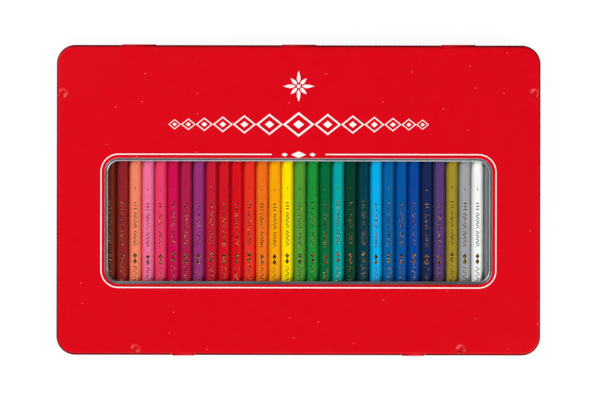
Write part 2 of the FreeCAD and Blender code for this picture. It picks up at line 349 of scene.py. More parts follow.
def seal(mesh, first, second, columns, finish):
    """Faces between two rows over some columns; returns the columns where these begin and end."""
    for column in columns:
        ahead = (column + 1) % len(first)
        fill(mesh, (first[column], first[ahead], second[ahead], second[column]), finish)
    return columns[0], ahead


def frame_hole(mesh, outer, inner, columns, finish):
    """Cut edges of a hole through a sheet. outer and inner are the pairs of rows above and below it."""
    seal(mesh, outer[0], inner[0], columns, finish)
    for end in seal(mesh, inner[1], outer[1], columns, finish):
        fill(mesh, (outer[0][end], outer[1][end], inner[1][end], inner[0][end]), finish)


def bent_tab(mesh, section, width, taper, straight, reach, side, place, finishes):
    """A bent tab on the back (side 1) or front (side -1), with sides that taper from straight to reach.

    The section's points are (distance from the middle of the tin, height). The finishes are those of
    the section's left side, its right side and the cut edges.
    """
    left_side, _, right_side = section
    points = left_side + right_side
    left_finish, right_finish, cut_finish = finishes
    ends = []
    for hand in (-1, 1):
        loop = []
        for out, high in points:
            half = width / 2 - taper * max(0.0, out - straight) / (reach - straight)
            loop.append(mesh.verts.new((place + hand * half, side * out, high)))
        ends.append(loop)
        fill(mesh, loop, cut_finish)
    for n, ahead in neighbours(len(points)):
        corners = (ends[0][n], ends[0][ahead], ends[1][ahead], ends[1][n])
        if n in (len(left_side) - 1, len(points) - 1):
            fill(mesh, corners, cut_finish)
        else:
            fill(mesh, corners, left_finish if n < len(left_side) else right_finish, True)


def prism(mesh, outline, low, high):
    """Closed plate with a flat outline, between two heights."""
    bottom, top = [[mesh.verts.new((x, y, z)) for x, y in outline] for z in (low, high)]
    fill(mesh, bottom[::-1], 0)
    fill(mesh, top, 0)
    for n, ahead in neighbours(len(outline)):
        fill(mesh, (bottom[n], bottom[ahead], top[ahead], top[n]), 0)


def linked(name, data):
    """A new object in the scene."""
    made = bpy.data.objects.new(name, data)
    bpy.context.scene.collection.objects.link(made)
    return made


def finished(name, mesh, materials, body, stands_for=()):
    """An object from a mesh under construction: placed, riding on its body and standing for its nodes."""
    bmesh.ops.recalc_face_normals(mesh, faces=mesh.faces)
    data = bpy.data.meshes.new(name)
    mesh.to_mesh(data)
    mesh.free()
    for material in materials:
        data.materials.append(material)
    piece = linked(name, data)
    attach(piece, body)
    if stands_for:
        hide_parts(*stands_for)


# Node tools and shared effects

NOISE_LOW, NOISE_HIGH = 0.3, 0.7
GRAIN_LOW, GRAIN_HIGH = 0.35, 0.65
SPECK_CORE, SPECK_EDGE = 0.006, 0.017
SPECK_PICK, SPECK_SURE = 0.6, 0.62


def feed(tree, socket, value):
    """Link a socket from another one, or set its value."""
    if isinstance(value, bpy.types.NodeSocket):
        tree.links.new(value, socket)
    else:
        socket.default_value = value


def node(tree, kind, settings=None, **inputs):
    """A shader node with its settings; an input is a value, or a socket to link from."""
    made = tree.nodes.new("ShaderNode" + kind)
    for key, value in (settings or {}).items():
        setattr(made, key, value)
    for key, value in inputs.items():
        feed(tree, made.inputs[key.replace("_", " ")], value)
    return made


def math_node(tree, operation, *values):
    """The result of arithmetic on values."""
    made = node(tree, "Math", {"operation": operation})
    for socket, value in zip(made.inputs, values):
        feed(tree, socket, value)
    return made.outputs[0]


def spread(tree, value, low, high, out_low, out_high):
    """A value mapped from one range to another, with the ends held."""
    span = {"From_Min": low, "From_Max": high, "To_Min": out_low, "To_Max": out_high}
    return node(tree, "MapRange", Value=value, **span).outputs[0]


def noise(tree, place, scale, detail, roughness=0.5):
    """A noise at a place."""
    return node(tree, "TexNoise", Vector=place, Scale=scale, Detail=detail, Roughness=roughness).outputs[0]


def swung(tree, value, amount):
    """A tone that swings round 1 with a noise, by an amount."""
    wide = spread(tree, value, NOISE_LOW, NOISE_HIGH, -1.0, 1.0)
    return math_node(tree, "MULTIPLY_ADD", wide, amount, 1.0)


def blended(tree, mask, first, second):
    """Two colours mixed by a mask."""
    made = node(tree, "Mix", {"data_type": "RGBA"})
    factor = next(s for s in made.inputs if s.name == "Factor" and s.type == "VALUE")
    colours = [s for s in made.inputs if s.type == "RGBA"]
    for socket, value in zip((factor, *colours), (mask, first, second)):
        feed(tree, socket, value)
    return next(s for s in made.outputs if s.type == "RGBA")


def effect(name, inputs, outputs, build):
    """A node group by name, made the first time it is asked for.

    build(tree, place, given) adds the nodes and returns the values for the outputs.
    """
    tree = bpy.data.node_groups.get(name)
    if tree:
        return tree
    tree = bpy.data.node_groups.new(name, "ShaderNodeTree")
    for label, value in inputs.items():
        socket = tree.interface.new_socket(label, in_out="INPUT", socket_type="NodeSocketFloat")
        socket.default_value = value
    for label in outputs:
        tree.interface.new_socket(label, in_out="OUTPUT", socket_type="NodeSocketFloat")
    given = tree.nodes.new("NodeGroupInput").outputs
    place = node(tree, "TexCoord").outputs["Object"]
    results = build(tree, place, given)
    for value, socket in zip(results, tree.nodes.new("NodeGroupOutput").inputs):
        tree.links.new(value, socket)
    return tree


def place_effect(tree, group, **inputs):
    """A shared effect in a material, with the material's own values."""
    return node(tree, "Group", {"node_tree": group}, **inputs).outputs


def lacquer_film():
    """Lacquer: slow changes of tone, uneven gloss, fine orange peel and a few specks of dust."""

    def build(tree, place, given):
        slow = noise(tree, place, scale=38.0, detail=3.0)
        cloud = noise(tree, place, scale=160.0, detail=5.0, roughness=0.6)
        gloss = spread(tree, cloud, NOISE_LOW, NOISE_HIGH, given["Gloss Low"], given["Gloss High"])
        peel = noise(tree, place, given["Peel Scale"], detail=2.0)
        cells = node(tree, "TexVoronoi", {"voronoi_dimensions": "2D"}, Vector=place, Scale=55.0)
        speck = spread(tree, cells.outputs["Distance"], SPECK_CORE, SPECK_EDGE, 1.0, 0.0)
        pick = node(tree, "SeparateColor", Color=cells.outputs["Color"]).outputs[0]
        some = spread(tree, pick, SPECK_PICK, SPECK_SURE, 0.0, 1.0)
        dust = math_node(tree, "MULTIPLY", math_node(tree, "MULTIPLY", speck, some), given["Dust"])
        return swung(tree, slow, given["Mottle"]), gloss, peel, dust

    inputs = {"Mottle": 0.03, "Gloss Low": 0.22, "Gloss High": 0.34, "Peel Scale": 900.0, "Dust": 0.0}
    return effect("Lacquer Film", inputs, ("Tone", "Roughness", "Height", "Dust"), build)


def rolled_tin():
    """Tinplate: streaks along the rolling direction in tone, gloss and height."""

    def build(tree, place, given):
        along, across = 12.0, 1600.0
        drawn = node(tree, "Mapping", Vector=place, Scale=(along, across, across)).outputs[0]
        lines = noise(tree, drawn, scale=1.0, detail=4.0, roughness=0.65)
        cloud = noise(tree, place, scale=70.0, detail=4.0)
        line_share = 0.6
        soft = math_node(tree, "MULTIPLY", cloud, 1.0 - line_share)
        both = math_node(tree, "MULTIPLY_ADD", lines, line_share, soft)
        gloss = spread(tree, both, NOISE_LOW, NOISE_HIGH, given["Gloss Low"], given["Gloss High"])
        return swung(tree, both, given["Streaks"]), gloss, lines

    inputs = {"Streaks": 0.12, "Gloss Low": 0.25, "Gloss High": 0.42}
    return effect("Rolled Tin", inputs, ("Tone", "Roughness", "Height"), build)


def fine_grain():
    """Grain with its own stretch along the pencils: wood fibre, waxy cores, pitted plastic or foil."""

    def build(tree, place, given):
        across, along = given["Across Scale"], given["Along Scale"]
        stretched = node(tree, "VectorMath", {"operation": "MULTIPLY"})
        feed(tree, stretched.inputs[0], place)
        feed(tree, stretched.inputs[1], node(tree, "CombineXYZ", X=across, Y=along, Z=across).outputs[0])
        fibre = noise(tree, stretched.outputs[0], scale=1.0, detail=5.0, roughness=0.6)
        rises = spread(tree, fibre, GRAIN_LOW, GRAIN_HIGH, 0.0, 1.0)
        return swung(tree, fibre, given["Contrast"]), rises, fibre

    inputs = {"Across Scale": 900.0, "Along Scale": 900.0, "Contrast": 0.1}
    return effect("Fine Grain", inputs, ("Tone", "Grain", "Height"), build)


# Materials

DUST_COLOUR = (0.8, 0.76, 0.74, 1.0)
TIN_PEEL, PENCIL_PEEL = 1100.0, 700.0
TIN_MOTTLE, CURL_MOTTLE = 0.006, 0.05
# Ranges of roughness
TIN_GLOSS, CURL_GLOSS, DENT_GLOSS = (0.36, 0.44), (0.36, 0.5), (0.29, 0.33)
PENCIL_GLOSS, PRINT_GLOSS, FOIL_GLOSS = (0.3, 0.4), (0.3, 0.42), (0.12, 0.2)
FOIL_GRAIN = 1500.0
PEAK_LOW, PEAK_HIGH = 0.56, 0.8


def new_material(name, **constants):
    """A material with one Principled shader whose constant sockets are set on it."""
    material = bpy.data.materials.new(name)
    material.use_nodes = True
    shader = material.node_tree.nodes["Principled BSDF"]
    for key, value in constants.items():
        shader.inputs[key.replace("_", " ")].default_value = value
    return material, material.node_tree, shader.inputs


def toned(tree, colour, tone):
    """A colour made lighter and darker by a tone that changes over the surface."""
    return node(tree, "HueSaturation", Color=(*colour[:3], 1.0), Value=tone).outputs[0]


def surfaced(tree, inputs, shade, roughness, height, strength, distance):
    """Join a colour, a roughness and the bump of a height to a material's shader."""
    bump = node(tree, "Bump", Height=height, Strength=strength, Distance=distance).outputs[0]
    for socket, value in (("Base Color", shade), ("Roughness", roughness), ("Normal", bump)):
        tree.links.new(value, inputs[socket])


def lacquer(name, colour, gloss, mottle, peel, dust=0.0, shine=0.1):
    """Lacquer or print of a colour, on tin or on a pencil."""
    material, tree, inputs = new_material(name, IOR=1.5, Specular_IOR_Level=shine)
    low, high = gloss
    film = place_effect(
        tree, lacquer_film(), Mottle=mottle, Gloss_Low=low, Gloss_High=high, Peel_Scale=peel, Dust=dust
    )
    shade = toned(tree, colour, film["Tone"])
    if dust:
        shade = blended(tree, film["Dust"], shade, DUST_COLOUR)
    surfaced(tree, inputs, shade, film["Roughness"], film["Height"], strength=0.25, distance=0.004 * MM)
    return material


def tinplate(name, colour):
    """Bare rolled metal."""
    material, tree, inputs = new_material(name, Metallic=1.0)
    grain = place_effect(tree, rolled_tin(), Streaks=0.1, Gloss_Low=0.28, Gloss_High=0.4)
    shade = toned(tree, colour, grain["Tone"])
    surfaced(tree, inputs, shade, grain["Roughness"], grain["Height"], strength=0.3, distance=0.0006 * MM)
    return material


def grained(name, colour, kind):
    """A grained surface without lacquer: wood, core or plastic."""
    across, along, contrast, rough, bump = kind
    material, tree, inputs = new_material(name)
    grain = place_effect(tree, fine_grain(), Across_Scale=across, Along_Scale=along, Contrast=contrast)
    shade = toned(tree, colour, grain["Tone"])
    roughness = spread(tree, grain["Grain"], 0.0, 1.0, *rough)
    surfaced(tree, inputs, shade, roughness, grain["Height"], strength=0.5, distance=bump * MM)
    return material


def stamped_foil(name, colour):
    """Thin foil pressed into lacquer: smooth, with scattered grains that catch the light."""
    material, tree, inputs = new_material(name, Metallic=1.0)
    grain = place_effect(tree, fine_grain(), Across_Scale=FOIL_GRAIN, Along_Scale=FOIL_GRAIN, Contrast=0.2)
    shade = toned(tree, colour, grain["Tone"])
    roughness = spread(tree, grain["Grain"], 0.0, 1.0, *FOIL_GLOSS)
    peaks = spread(tree, grain["Height"], PEAK_LOW, PEAK_HIGH, 0.0, 1.0)
    surfaced(tree, inputs, shade, roughness, peaks, strength=0.5, distance=0.3 * MM)
    return material


# Scales across and along, contrast, range of roughness, and bump in millimetres
PLASTIC_GRAIN = (1400.0, 1400.0, 0.12, (0.32, 0.5), 0.03)
WOOD_GRAIN = (2600.0, 160.0, 0.16, (0.5, 0.7), 0.02)
CORE_GRAIN = (1800.0, 900.0, 0.12, (0.38, 0.6), 0.02)
RED, BARE, CURL, PRESSED, INSIDE = range(5)


def tin_materials():
    """The tin's lacquers and bare metal, in the order of the numbers RED to INSIDE."""
    colours = bpy.context.scene.finishes
    film = {"mottle": TIN_MOTTLE, "peel": TIN_PEEL}
    makers = {
        "red_tin_lacquer": lambda n: lacquer(n, colours.lid_red, TIN_GLOSS, **film, dust=0.5),
        "bare_tinplate": lambda n: tinplate(n, colours.bare_tin),
        # The curl's lacquer is the lid's red darkened, so the shade on the rolled edge is painted in
        "thin_curl_lacquer": lambda n: lacquer(n, colours.curl_painted_shade_red, CURL_GLOSS, CURL_MOTTLE, TIN_PEEL),
        "pressed_tin_lacquer": lambda n: lacquer(n, colours.lid_red, DENT_GLOSS, **film, shine=0.35),
        # Same tinplate as the bare metal, only darker in colour, on the lid's inside faces
        "dull_tinplate": lambda n: tinplate(n, colours.inside_tin),
    }
    return [bpy.data.materials.get(name) or make(name) for name, make in makers.items()]


# Pieces

DENT_STEPS, DENT_SPOKES, DENT_RINGS = 16, 28, 10
DENT_MARGIN = 0.08 * MM
WRAP_ANGLE = 220
PANEL_SLOPE = 45
TRAY_WELD, TRAY_EASE, TRAY_SHARP = 0.002 * MM, 0.18 * MM, math.radians(25)


def lid_edge(mesh, tin, at):
    """The lid's edge, skirt and curl, as rows of vertices, and how many of them lie outside."""
    slot_half = tin.tongue_width / 2 + tin.slot_play
    lip_half = tin.lip_width / 2 + tin.lip_gap
    slot_top = at.hinge_z + at.tongue_radius + tin.sheet / 2 + tin.slot_play
    far = DENT_STEPS // 2 + 1
    dent_stops = [n * tin.dent_width / DENT_STEPS for n in range(-far, far + 1)]
    side_stops = [at.dents[0][1] + s for s in dent_stops]
    stops = {
        "right": side_stops,
        "left": side_stops,
        "front": [x + s for x, _ in at.dents[2:] for s in dent_stops] + both_sides(at.lips, lip_half),
        "back": both_sides(at.tongues, slot_half),
    }
    outline = Outline(at.lid_length, at.lid_depth, tin.lid_corner, stops=stops)
    moves = [
        ("bend", tin.lid_round - tin.sheet / 2, -90),
        ("run", at.top - tin.lid_round - slot_top),
        ("run", slot_top - at.hinge_z),
    ]
    start = (-tin.lid_round, at.top - tin.sheet / 2)
    outside, rolled, inside = bent_sheet(start, 0, moves, tin.sheet, tin.curl)
    rows = carried(mesh, outline, outside + rolled + inside)
    above, curl_start = len(outside) - 1, len(outside)
    curl_end = curl_start + len(rolled) - 1
    slots = [columns_between(rows[0], 1, x, slot_half) for x in at.tongues]
    lips = [columns_between(rows[0], -1, x, lip_half) for x in at.lips]
    in_slots, in_lips = set().union(*slots), set().union(*lips)

    def leave(strip, column):
        if column in in_slots and strip in (above, curl_end):
            return True
        return column in in_lips and curl_start <= strip < curl_end

    finishes = [RED if strip <= above else INSIDE for strip in range(len(rows) - 1)]
    # The curl's faces take the darkened red that paints the shade on the rolled edge
    finishes[curl_start:curl_end] = [CURL] * (curl_end - curl_start)
    skin(mesh, rows, finishes, leave)
    outer, inner = rows[curl_start], rows[curl_end]
    for columns in slots:
        frame_hole(mesh, (rows[above], outer), (rows[curl_end + 1], inner), columns, BARE)
    for columns in lips:
        for end in seal(mesh, outer, inner, columns, BARE):
            fill(mesh, [row[end] for row in rows[curl_start : curl_end + 1]], CURL)
    return rows, len(outside)


def window_rim(mesh, tin, at):
    """The window's rim with its ledge and curl, as rows of vertices from below to above."""
    window = Outline(at.window_length, at.window_depth, tin.window_corner, (0.0, at.window_y))
    moves = [
        ("bend", tin.window_bend, 90),
        ("run", tin.window_drop),
        ("bend", tin.ledge_bend, -90),
        ("run", tin.ledge),
    ]
    start = (tin.window_bend + tin.sheet / 2, at.top - tin.sheet / 2)
    under, rolled, over = bent_sheet(start, 180, moves, tin.sheet, tin.curl)
    rim = carried(mesh, window, under + rolled + over)
    red_low = at.top - tin.window_bend - tin.window_drop
    finishes = [RED if row[0].co.z > red_low else BARE for row in rim[1:]]
    for strip in range(len(under) + len(rolled)):
        finishes[strip] = INSIDE if strip < len(under) - 1 else BARE
    skin(mesh, rim, finishes)
    return rim


def lid_panels(mesh, tin, at, top_loops, under_loops):
    """Top and underside between the lid's edge and its window, with close points where the dents go."""
    top, under = [[v for loop in loops for v in loop] for loops in (top_loops, under_loops)]
    given = len(top)
    flat = [Vector(v.co[:2]) for v in top]
    edges, first = [], 0
    for loop in top_loops:
        edges += [(first + n, first + ahead) for n, ahead in neighbours(len(loop))]
        first += len(loop)
    margin = tin.lid_round + DENT_MARGIN
    limit_x, limit_y = at.lid_length / 2 - margin, at.lid_depth / 2 - margin
    for dent in at.dents:
        flat.append(Vector(dent))
        for number in range(1, DENT_RINGS + 1):
            radius = tin.dent_width / 2 * number / (DENT_RINGS - 1)
            points = [Vector(dent) + p for p in circle(radius, DENT_SPOKES, number % 2 / 2)]
            flat += [p for p in points if abs(p.x) < limit_x and abs(p.y) < limit_y]
    convex, near = 0, 1e-7
    _, _, faces, sources, _, _ = delaunay_2d_cdt(flat, edges, [], convex, near)
    if any(len(s) != 1 for s in sources):
        raise RuntimeError("the lid's panel has points that fall together")
    top += [mesh.verts.new((*p, at.top)) for p in flat[given:]]
    under += [mesh.verts.new((*p, at.top - tin.sheet)) for p in flat[given:]]
    for face in faces:
        corners = [sources[n][0] for n in face]
        if all(len(top_loops[0]) <= n < given for n in corners):
            continue
        dented = any(n >= given for n in corners)
        for verts, finish in ((top, RED), (under, INSIDE)):
            fill(mesh, [verts[n] for n in corners], finish, dented)


def press_dents(mesh, tin, at, lower):
    """Push the lid's metal down at the four stop dents, and give them their gloss.

    lower holds the vertices of the lid's curl and of the inside of its edge.
    """
    floor, wide = tin.dent_floor / 2, tin.dent_width / 2
    middle = at.top - tin.sheet / 2
    for dent in at.dents:
        for vert in mesh.verts:
            far = (vert.co.xy - Vector(dent)).length
            if far >= wide:
                continue
            share = 0.5 + 0.5 * math.cos(math.pi * max(0.0, far - floor) / (wide - floor))
            is_under = vert in lower or middle - tin.sheet < vert.co.z < middle
            level = at.top - tin.sheet if is_under else at.top
            vert.co.z = min(vert.co.z, level - tin.dent_depth * share)
        for face in mesh.faces:
            far = (face.calc_center_median().xy - Vector(dent)).length
            if face.material_index == RED and far < wide:
                face.material_index = PRESSED


class PENCILBOX_OT_lid(bpy.types.Operator):
    """Pressed lid with its rolled edges, window rim, stop dents, hinge slots and lift lips"""

    bl_idname = "pencil_box.lid"
    bl_label = "Lid"

    def execute(self, context):
        tin, at = context.scene.tin_sizes, sizes()
        mesh = bmesh.new()
        rows, outside = lid_edge(mesh, tin, at)
        rim = window_rim(mesh, tin, at)
        lid_panels(mesh, tin, at, (rows[0], rim[-1]), (rows[-1], rim[0]))
        press_dents(mesh, tin, at, {v for row in rows[outside:] for v in row})

        skirt = at.lid_depth / 2 - tin.sheet / 2
        curl_edge = at.lid_depth / 2 + 2 * tin.curl - tin.sheet
        moves = [
            ("run", tin.lip_drop),
            ("bend", tin.lip_fold, 90),
            ("run", curl_edge - skirt - tin.lip_fold),
            ("run", at.reach - curl_edge),
        ]
        section = bent_sheet((skirt, at.hinge_z), -90, moves, tin.sheet)
        shape = (section, tin.lip_width, tin.lip_taper, curl_edge, at.reach)
        for x in at.lips:
            bent_tab(mesh, *shape, -1, x, (RED, BARE, BARE))
        finished("lid_shell", mesh, tin_materials(), "lid", ["lid"])
        return {"FINISHED"}


class PENCILBOX_OT_base(bpy.types.Operator):
    """Drawn base with its raised bottom panel, rolled rim and hinge tongues"""

    bl_idname = "pencil_box.base"
    bl_label = "Base"

    def execute(self, context):
        tin, at = context.scene.tin_sizes, sizes()
        mesh = bmesh.new()
        corner = tin.lid_corner - tin.base_gap
        wall = at.base_depth / 2 - tin.sheet / 2
        root = at.hinge_z - at.tongue_radius - tin.tongue_fold
        straight = at.hinge_y - wall - tin.tongue_fold
        unrolled = straight + math.radians(90 * tin.tongue_fold + WRAP_ANGLE * at.tongue_radius)
        half = tin.tongue_width / 2 + tin.lance_gap
        stops = {"back": both_sides(at.tongues, half)}
        outline = Outline(at.base_length, at.base_depth, corner, stops=stops)

        slope = math.radians(PANEL_SLOPE)
        fall = 2 * tin.panel_bend * (1 - math.cos(slope))
        slope_run = (tin.panel_rise - fall) / math.sin(slope)
        step_width = 2 * tin.panel_bend * math.sin(slope) + slope_run * math.cos(slope)
        foot_run = corner - tin.sheet / 2 - tin.foot_bend - step_width - tin.panel_corner
        wall_low = tin.foot_bend + tin.sheet / 2
        moves = [
            ("bend", tin.panel_bend, -PANEL_SLOPE),
            ("run", slope_run),
            ("bend", tin.panel_bend, PANEL_SLOPE),
            ("run", foot_run),
            ("bend", tin.foot_bend, 90),
            ("run", root - wall_low),
            ("run", unrolled),
            ("run", at.rim_height - tin.curl - root - unrolled),
        ]
        start = (tin.panel_corner - corner, tin.panel_rise + tin.sheet / 2)
        inside, rolled, outside = bent_sheet(start, 0, moves, tin.sheet, tin.curl)
        rows = carried(mesh, outline, inside + rolled + outside)
        hole_in = len(inside) - 2
        hole_out = len(inside) + len(rolled)
        holes = [columns_between(rows[hole_out], 1, x, half) for x in at.tongues]
        in_holes = set().union(*holes)
        finishes = [BARE if strip < len(inside) else RED for strip in range(len(rows) - 1)]
        skin(mesh, rows, finishes, leave=lambda strip, n: n in in_holes and strip in (hole_in, hole_out))
        for columns in holes:
            outer = (rows[hole_out], rows[hole_out + 1])
            inner = (rows[hole_in + 1], rows[hole_in])
            frame_hole(mesh, outer, inner, columns, BARE)
        fill(mesh, rows[0], BARE)
        fill(mesh, rows[-1][::-1], RED)

        moves = [("bend", tin.tongue_fold, -90), ("run", straight), ("bend", at.tongue_radius, WRAP_ANGLE)]
        section = bent_sheet((wall, root), 90, moves, tin.sheet)
        shape = (section, tin.tongue_width, tin.tongue_taper, at.hinge_y, at.reach)
        for x in at.tongues:
            bent_tab(mesh, *shape, 1, x, (BARE, RED, BARE))
        finished("base_shell", mesh, tin_materials()[: BARE + 1], "base", ["base_tin"])
        return {"FINISHED"}


class PENCILBOX_OT_pane(bpy.types.Operator):
    """Clear sheet under the window's rim"""

    bl_idname = "pencil_box.pane"
    bl_label = "Pane"

    def execute(self, context):
        haze_share, sheen_share, sheen_power = 0.002, 0.6, 5.0
        material, tree, inputs = new_material("clear_pane", Roughness=0.05, IOR=1.45)
        inputs["Base Color"].default_value = (*context.scene.finishes.clear, 1.0)
        facing = node(tree, "LayerWeight", Blend=0.5).outputs["Facing"]
        film = place_effect(tree, lacquer_film(), Mottle=0.3, Peel_Scale=300.0)
        haze = math_node(tree, "MULTIPLY", film["Tone"], haze_share)
        sheen = math_node(tree, "POWER", facing, sheen_power)
        tree.links.new(math_node(tree, "MULTIPLY_ADD", sheen, sheen_share, haze), inputs["Alpha"])
        pane = frame["nodes"]["window_pane"]
        pane.data.materials.clear()
        pane.data.materials.append(material)
        return {"FINISHED"}


class PENCILBOX_OT_tray(bpy.types.Operator):
    """Formed plastic tray under the pencils"""

    bl_idname = "pencil_box.tray"
    bl_label = "Tray"

    def execute(self, context):
        material = grained("tray_plastic", context.scene.finishes.tray_grey, PLASTIC_GRAIN)
        tray = frame["nodes"]["pencil_tray"]
        tray.data.materials.clear()
        tray.data.materials.append(material)
        weld = tray.modifiers.new("Weld", "WELD")
        weld.merge_threshold = TRAY_WELD
        ease = tray.modifiers.new("Eased edges", "BEVEL")
        ease.width = TRAY_EASE
        ease.segments = 2
        ease.limit_method = "ANGLE"
        ease.angle_limit = TRAY_SHARP
        return {"FINISHED"}


CONE_SHARES = (1.0, 0.72, 0.45, 0.2, 0.0)
CORE_SIDES = 20


def pencil_axis(name):
    """X and height of a pencil's axis, and the height of its top side."""
    low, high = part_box(name)
    return (low.x + high.x) / 2, (low.z + high.z) / 2, high.z


def pencil_columns(flats, rounding):
    """Points round an eased hexagon with a side on top, as (x, z, whether the next edge is on a flat)."""
    points = []
    half_flat = (flats / 2 - rounding) * math.tan(math.radians(30))
    for side in range(6):
        turn = Matrix.Rotation(-math.radians(60) * side, 2)
        for share in (-1.0, -0.5, 0.0, 0.5, 1.0):
            points.append((*(turn @ Vector((half_flat * share, flats / 2))), share < 1.0))
        centre = turn @ Vector((half_flat, flats / 2 - rounding))
        corner = turn @ (Matrix.Rotation(-math.radians(30), 2) @ Vector((0.0, rounding)))
        points.append((*(centre + corner), False))
    return points


def pencil_case(pencil, name):
    """One pencil's wood: hexagonal case, cone and the hole for its core."""
    coat, wood = 0, 1
    low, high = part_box(name)
    x, z, _ = pencil_axis(name)
    slope = math.tan(pencil.point_angle / 2)
    hole, bevel = pencil.hole / 2, pencil.end_bevel
    apex = high.y + hole / slope
    columns = pencil_columns(high.z - low.z, pencil.corner_round)
    mesh = bmesh.new()

    def row(share, y=None, inset=0.0):
        """Vertices at a share of the way out from the hole, on the cone unless their place is given."""
        verts = []
        for px, pz, _ in columns:
            far = math.hypot(px, pz)
            radius = hole + (far - hole) * share - inset
            along = apex - radius / slope if y is None else y
            verts.append(mesh.verts.new((x + px * radius / far, along, z + pz * radius / far)))
        return verts

    rows = [row(0.0, low.y), row(1.0, low.y, bevel), row(1.0, low.y + bevel)]
    rows += [row(share) for share in CONE_SHARES]
    rows.append(rows[0])
    finishes = [wood, coat, coat] + [wood] * len(CONE_SHARES)
    skin(mesh, rows, finishes, flat=lambda strip, n: strip < 2 or (strip == 2 and columns[n][2]))
    return mesh


class PENCILBOX_OT_pencils(bpy.types.Operator):
    """Lacquered pencil cases, each with a scalloped cone of bare wood"""

    bl_idname = "pencil_box.pencils"
    bl_label = "Pencils"

    def execute(self, context):
        wood = grained("sharpened_wood", context.scene.finishes.wood, WOOD_GRAIN)
        for name in PENCIL_NODES:
            slot = name.replace("pencil_", "lacquer_")
            coat = lacquer(slot, RECORD_COLOURS[slot], PENCIL_GLOSS, mottle=0.03, peel=PENCIL_PEEL)
            mesh = pencil_case(context.scene.pencil_sizes, name)
            finished(name + "_case", mesh, [coat, wood], "base", [name])
        return {"FINISHED"}


def pencil_core(mesh, pencil, case, back, tip, finish):
    """One core: a rod with a cone and a softly blunted tip."""
    x, z, _ = pencil_axis(case)
    slope = math.tan(pencil.point_angle / 2)
    rod, blunt = pencil.core / 2, pencil.tip / 2
    shoulder = tip - (rod - blunt) / slope
    soft = blunt / 2
    # Radius and place of the rod's end, its shoulder, the cone and the rings that blunt the tip
    stages = [
        (rod, back),
        (rod, shoulder),
        (rod * 0.6, shoulder + rod * 0.4 / slope),
        (blunt + soft * slope, tip - soft),
        (blunt * 0.86, tip - soft * 0.35),
        (blunt * 0.5, tip),
    ]
    rows = []
    for radius, y in stages:
        rows.append([mesh.verts.new((x + p.x, y, z + p.y)) for p in circle(radius, CORE_SIDES)])
    skin(mesh, rows, [finish] * len(stages))
    fill(mesh, rows[0], finish)
    fill(mesh, rows[-1][::-1], finish)


class PENCILBOX_OT_cores(bpy.types.Operator):
    """Coloured cores, showing at the points and the cut ends"""

    bl_idname = "pencil_box.cores"
    bl_label = "Cores"

    def execute(self, context):
        for name in CORE_NODES:
            low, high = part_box(name)
            mine = [p for p in PENCIL_NODES if low.x < pencil_axis(p)[0] < high.x]
            mesh = bmesh.new()
            materials = []
            for finish, case in enumerate(mine):
                colour = RECORD_COLOURS[case.replace("pencil_", "lacquer_")]
                own = case.replace("pencil_", "core_")
                materials.append(grained(own, colour, CORE_GRAIN))
                pencil_core(mesh, context.scene.pencil_sizes, case, low.y, high.y, finish)
            finished(name + "_leads", mesh, materials, "base", [name])
        return {"FINISHED"}


# Places of the foil marks along a pencil, in millimetres from the middle of the tin
FOIL_DOT = 7.0
FOIL_BARS = (-1.6, -3.4, -5.2)
FOIL_LOZENGES = (-33.4, -36.8)
# Width and length of the dot and the lozenges, and half length of a bar, as shares of width and stroke
FOIL_DOT_SIZE, FOIL_LOZENGE_SIZE, FOIL_BAR_HALF = (0.4, 0.8), (1.35, 1.9), 0.65
# Start, end, share of the foil's width, and pitch
FOIL_ZIGZAGS = ((-7.2, -16.8, 1.0, 1.2), (-18.2, -27.7, 1.0, 1.2), (-39.6, -76.0, 1.2, 1.5))


def foil_outlines(pencil):
    """Outlines of one pencil's marks, as points across and along it."""
    wide, stroke = pencil.foil_width, pencil.foil_stroke
    plates = [lozenge(0.0, FOIL_DOT * MM, *(wide * share for share in FOIL_DOT_SIZE))]
    for y in FOIL_LOZENGES:
        plates.append(lozenge(0.0, y * MM, *(wide * share for share in FOIL_LOZENGE_SIZE)))
    half, rise = wide / 2, stroke * FOIL_BAR_HALF
    for y in FOIL_BARS:
        low, high = y * MM - rise, y * MM + rise
        plates.append([(-half, low), (half, low), (half, high), (-half, high)])
    for start, end, share, pitch in FOIL_ZIGZAGS:
        count = round((start - end) / pitch)
        step = (start - end) / count * MM
        side = -half * share
        for number in range(count):
            near = start * MM - number * step
            far = near - step
            plates.append([(side, near), (side, near - stroke), (-side, far), (-side, far + stroke)])
            side = -side
    return plates


class PENCILBOX_OT_foil(bpy.types.Operator):
    """Plain foil marks stamped on the pencils: bars, zigzags and lozenges"""

    bl_idname = "pencil_box.foil"
    bl_label = "Foil marks"

    def execute(self, context):
        pencil = context.scene.pencil_sizes
        mesh = bmesh.new()
        for number, name in enumerate(PENCIL_NODES):
            x, _, top = pencil_axis(name)
            shift = pencil.foil_shift * math.sin(number * number)
            for plate in foil_outlines(pencil):
                outline = [(x + across, along + shift) for across, along in plate]
                prism(mesh, outline, top - pencil.foil_film, top + pencil.foil_film)
        foil = stamped_foil("stamped_foil", context.scene.finishes.foil_gold)
        finished("foil_marks", mesh, [foil], "base")
        return {"FINISHED"}


FRIEZE_STEPS, FRIEZE_SHRINK = 6, 0.86
FRIEZE_HOLE, FRIEZE_HEART = 0.805, 0.34
PETALS, SHORT_PETAL = 8, 0.72
# Outline of a petal, and radius of the disc, as shares of the rosette's radius
PETAL = [(0.0, 0.2), (0.11, 0.42), (0.1, 0.66), (0.0, 1.0), (-0.1, 0.66), (-0.11, 0.42)]
DISC, DISC_SIDES = 0.11, 20
# Place, width and height of the lozenges in the line's gap, in millimetres
GAP_LOZENGES = ((0.0, 9.0, 4.0), (-8.4, 4.0, 2.2), (8.4, 4.0, 2.2))


def print_levels(context):
    """Heights between which the print lies, sunk a little into the lid."""
    film = context.scene.print_sizes.film
    return sizes().top - film, sizes().top + film


